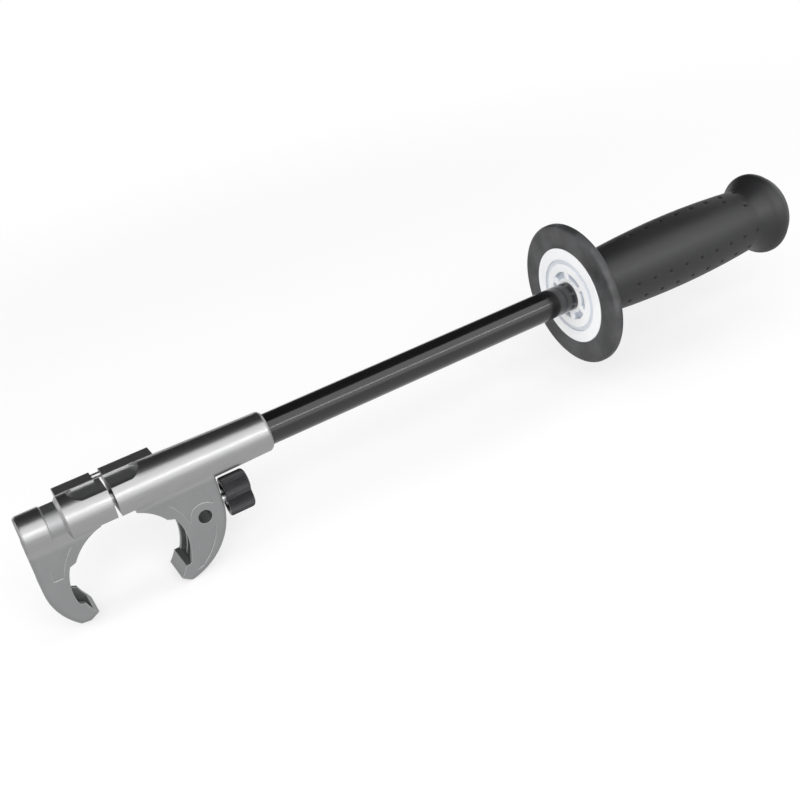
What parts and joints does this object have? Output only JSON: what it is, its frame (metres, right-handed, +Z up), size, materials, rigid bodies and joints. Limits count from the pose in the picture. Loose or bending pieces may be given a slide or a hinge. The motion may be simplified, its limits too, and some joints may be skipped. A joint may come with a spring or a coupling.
{
  "type": "power tool side handle",
  "caption": "Long auxiliary side handle for a heavy drill: cast screw-drawn collar clamp, steel pipe, guarded rubber grip and depth gauge bore with thumb screw.",
  "frame": {"origin": "centre of the round tool collar that the two jaws hold", "axes": "+X along the handle towards the grip, +Y along the collar's axis, +Z up, jaws hanging towards -Z"},
  "size_m": [0.4552, 0.0794, 0.0939],
  "materials": {
    "cast_alloy": "satin, as cast and tumbled, turned bright on the sleeve",
    "bright_steel": "ground and plated",
    "black_pipe": "gloss black coating",
    "rubber": "matt moulded elastomer",
    "white_plastic": "satin moulded",
    "black_plastic": "satin moulded, ribbed"
  },
  "bodies": {
    "fixed_clamp": {"fixed_jaw": "cast_alloy", "guide_pin": "bright_steel", "thrust_washer": "bright_steel", "wave_washer": "bright_steel", "mouth_seal": "rubber", "gauge_insert": "bright_steel"},
    "handle": {"handle_pipe": "black_pipe", "draw_stud": "bright_steel", "stud_pin": "bright_steel", "stop_ring": "bright_steel", "grip_core": "white_plastic", "grip_cover": "rubber", "pipe_insert": "bright_steel", "grip_washer": "bright_steel", "grip_bolt": "bright_steel", "end_cap": "rubber"},
    "moving_clamp": {"moving_jaw": "cast_alloy", "draw_nut": "bright_steel", "nut_ring": "bright_steel"},
    "gauge_screw": {"thumb_screw": "bright_steel"},
    "gauge_knob": {"thumb_knob": "black_plastic"}
  },
  "joints": [
    {"name": "handle_turn", "type": "hinge", "parent": "fixed_clamp", "child": "handle", "pos_m": [0.03, 0, 0.0319], "axis": [1, 0, 0], "range_deg": [-360, 3240]},
    {"name": "jaw_travel", "type": "slide", "parent": "fixed_clamp", "child": "moving_clamp", "axis": [-1, 0, 0], "range_m": [-0.0013, 0.0114]},
    {"name": "screw_travel", "type": "slide", "parent": "fixed_clamp", "child": "gauge_screw", "axis": [1, 0, 0], "range_m": [-0.0021, 0.0041]},
    {"name": "knob_turn", "type": "hinge", "parent": "gauge_screw", "child": "gauge_knob", "pos_m": [0.06, 0, 0.0075], "axis": [1, 0, 0], "range_deg": [-900, 1800]}
  ],
  "couplings": [
    {"joint": "jaw_travel", "follows": "handle_turn", "m_per_rad": 0.00019894},
    {"joint": "screw_travel", "follows": "knob_turn", "m_per_rad": 0.00012732}
  ]
}
